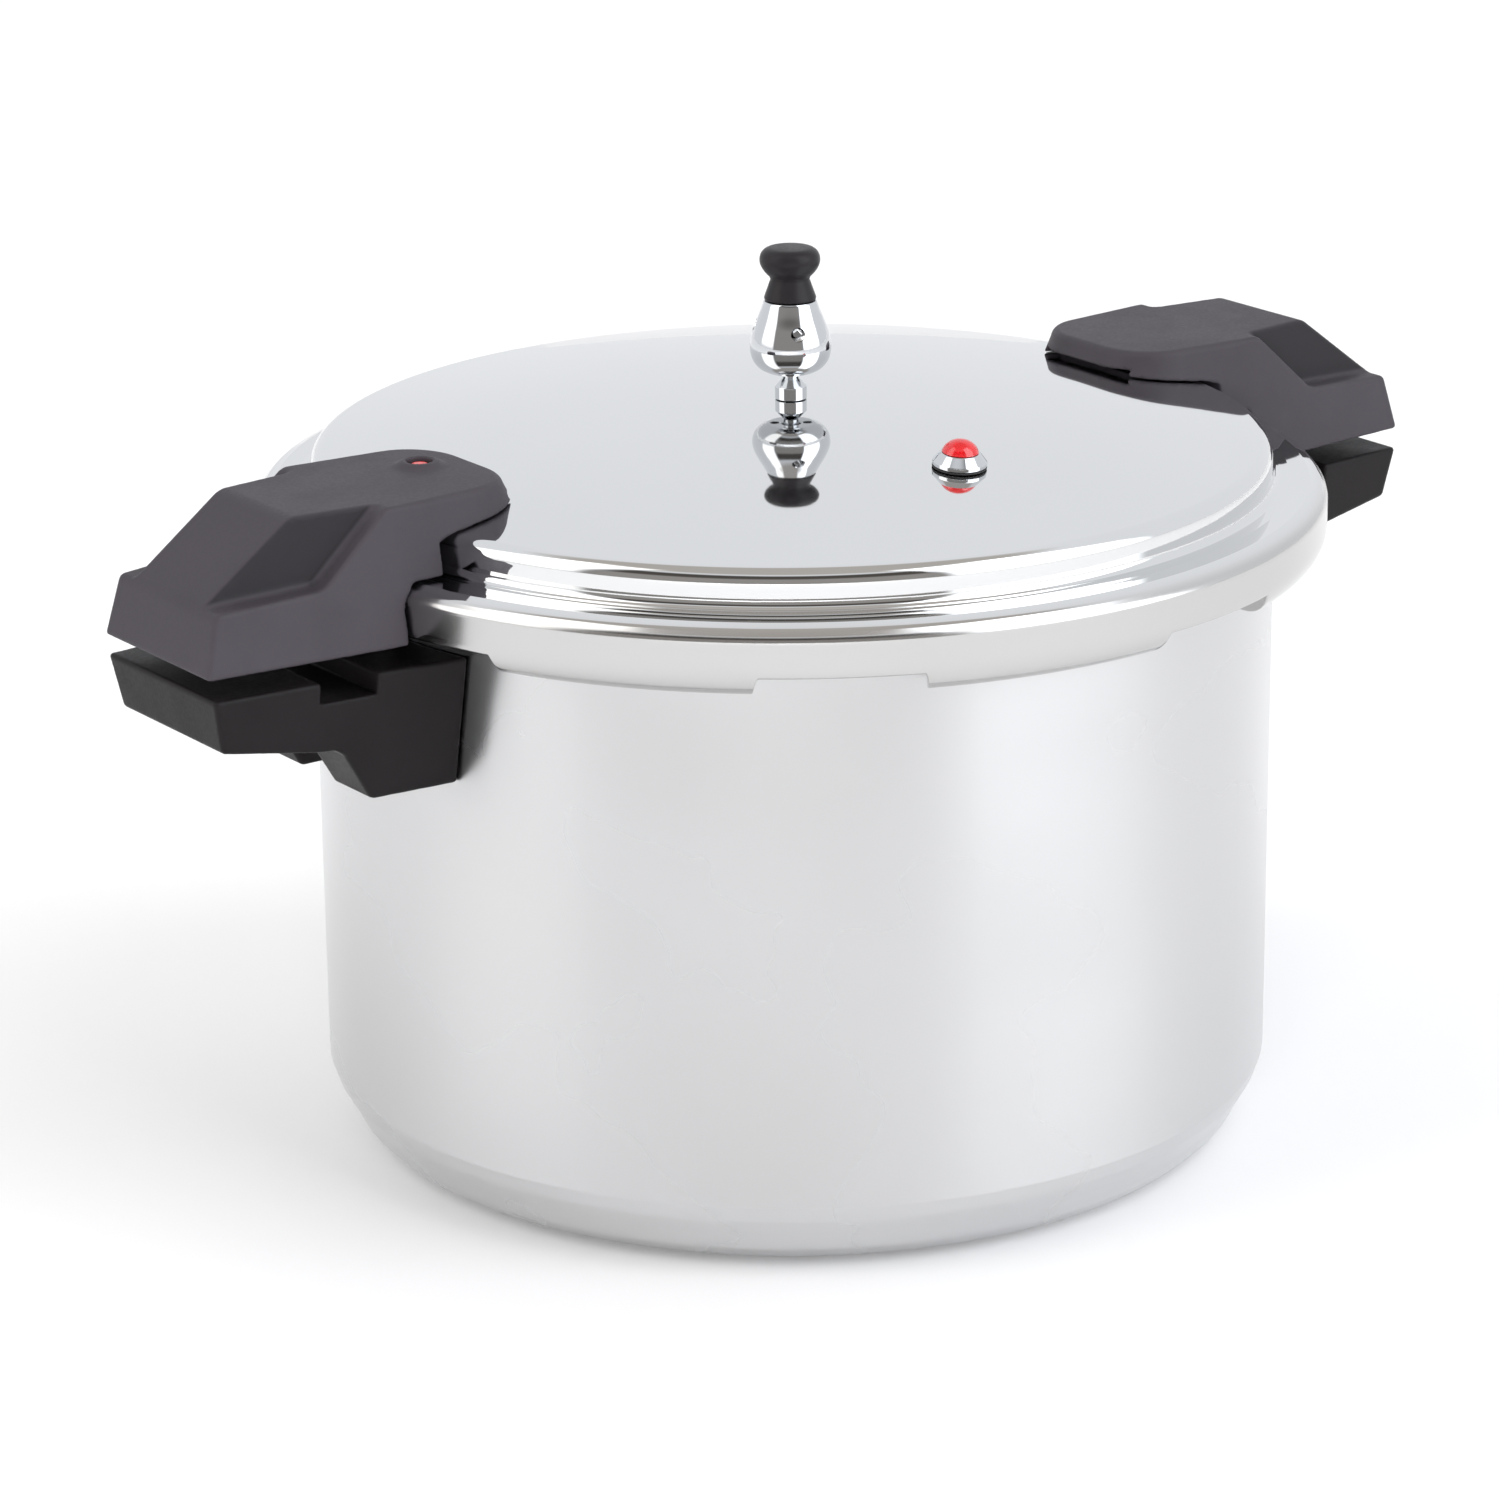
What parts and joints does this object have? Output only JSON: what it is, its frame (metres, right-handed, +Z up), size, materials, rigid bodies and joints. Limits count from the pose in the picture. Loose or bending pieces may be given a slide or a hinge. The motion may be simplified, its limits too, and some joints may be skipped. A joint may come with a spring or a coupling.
{
  "type": "pressure canner",
  "caption": "Deep aluminium pressure canner with a twist-lock lid, paired side handles, a vent tube with its weight, an over-pressure plug and a lock pin.",
  "frame": {"origin": "centre of the pot's flat base, on the surface that it stands on", "axes": "+Z up along the pot's axis, +X through the right-hand pair of handles"},
  "size_m": [0.4812, 0.3506, 0.294],
  "materials": {
    "satin_aluminium": "satin, finely brushed",
    "polished_aluminium": "mirror polished",
    "rack_aluminium": "mill",
    "charcoal_phenolic": "matte, fine texture",
    "black_phenolic": "matte, fine texture",
    "knob_phenolic": "satin",
    "chrome": "polished",
    "steel": "zinc plated",
    "black_rubber": "matte",
    "red_rubber": "glossy, translucent",
    "red_plastic": "satin"
  },
  "bodies": {
    "pot": {"pot_shell": "satin_aluminium", "body_handle_right": "black_phenolic", "body_handle_left": "black_phenolic", "body_handle_bracket_right": "steel", "body_handle_bracket_left": "steel", "body_handle_screw_right": "steel", "body_handle_screw_left": "steel"},
    "rack": {"jar_rack": "rack_aluminium"},
    "gasket": {"sealing_gasket": "black_rubber"},
    "lid": {"lid_shell": "polished_aluminium", "lid_handle_right": "charcoal_phenolic", "lid_handle_left": "charcoal_phenolic", "lid_handle_screw_right_front": "steel", "lid_handle_screw_right_back": "steel", "lid_handle_screw_left_front": "steel", "lid_handle_screw_left_back": "steel", "vent_tube": "chrome", "vent_tube_nut": "steel", "relief_plug_gasket": "black_rubber", "relief_plug_bezel": "chrome", "relief_plug_nut": "steel", "relief_plug": "red_rubber"},
    "weight": {"weight_body": "chrome", "weight_knob": "knob_phenolic"},
    "lock_pin": {"lock_pin": "red_plastic", "lock_pin_gasket": "black_rubber"}
  },
  "joints": [
    {"name": "lid_lift", "type": "slide", "parent": "pot", "child": "gasket", "axis": [0, 0, 1], "range_m": [0, 0.12]},
    {"name": "lid_twist", "type": "hinge", "parent": "gasket", "child": "lid", "pos_m": [0, 0, 0.2], "axis": [0, 0, 1], "range_deg": [0, 22.5]},
    {"name": "weight_lift", "type": "slide", "parent": "lid", "child": "weight", "axis": [0, 0, 1], "range_m": [0, 0.04]},
    {"name": "lock_pin_rise", "type": "slide", "parent": "lid", "child": "lock_pin", "axis": [0, 0, 1], "range_m": [0, 0.004]},
    {"name": "rack_lift", "type": "slide", "parent": "pot", "child": "rack", "axis": [0, 0, 1], "range_m": [0, 0.18]}
  ]
}
